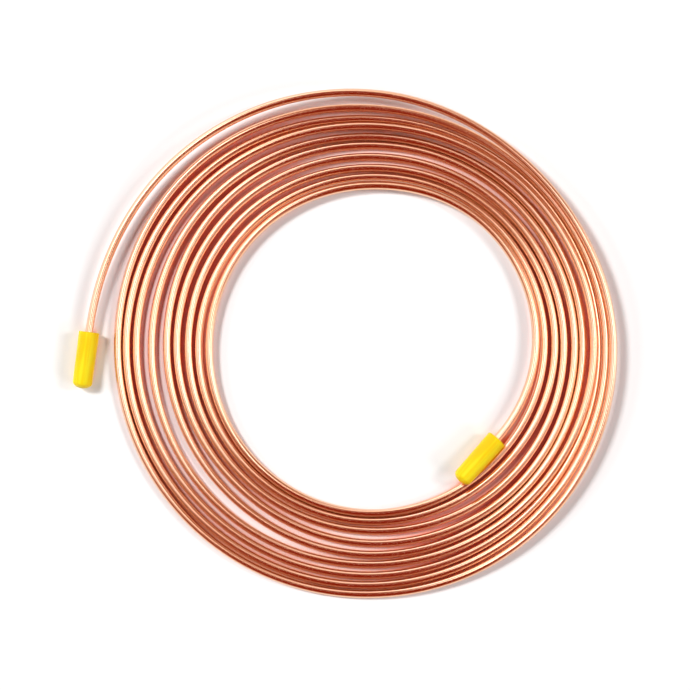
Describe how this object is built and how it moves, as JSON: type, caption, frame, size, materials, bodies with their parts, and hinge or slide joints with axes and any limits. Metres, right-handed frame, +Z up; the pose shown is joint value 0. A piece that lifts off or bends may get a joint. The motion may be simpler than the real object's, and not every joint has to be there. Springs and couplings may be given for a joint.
{
  "type": "copper tube coil",
  "caption": "Loose flat coil of soft small-bore copper tube, ready to unroll and cut, with a push-on plastic cap over each open end.",
  "frame": {"origin": "middle of the coil's outline, on the level surface that it lies on", "axes": "+Z up out of the lying coil; +X is the longer way across, from the free outer end towards the far side; the tube winds counter-clockwise outwards seen from +Z"},
  "size_m": [0.3298, 0.3086, 0.0153],
  "materials": {
    "copper": "bright drawn copper, lightly marked by coiling",
    "yellow_plastic": "satin moulded yellow plastic"
  },
  "bodies": {
    "root": {"copper_tube": "copper", "inner_end_cap": "yellow_plastic", "outer_end_cap": "yellow_plastic"}
  },
  "joints": []
}
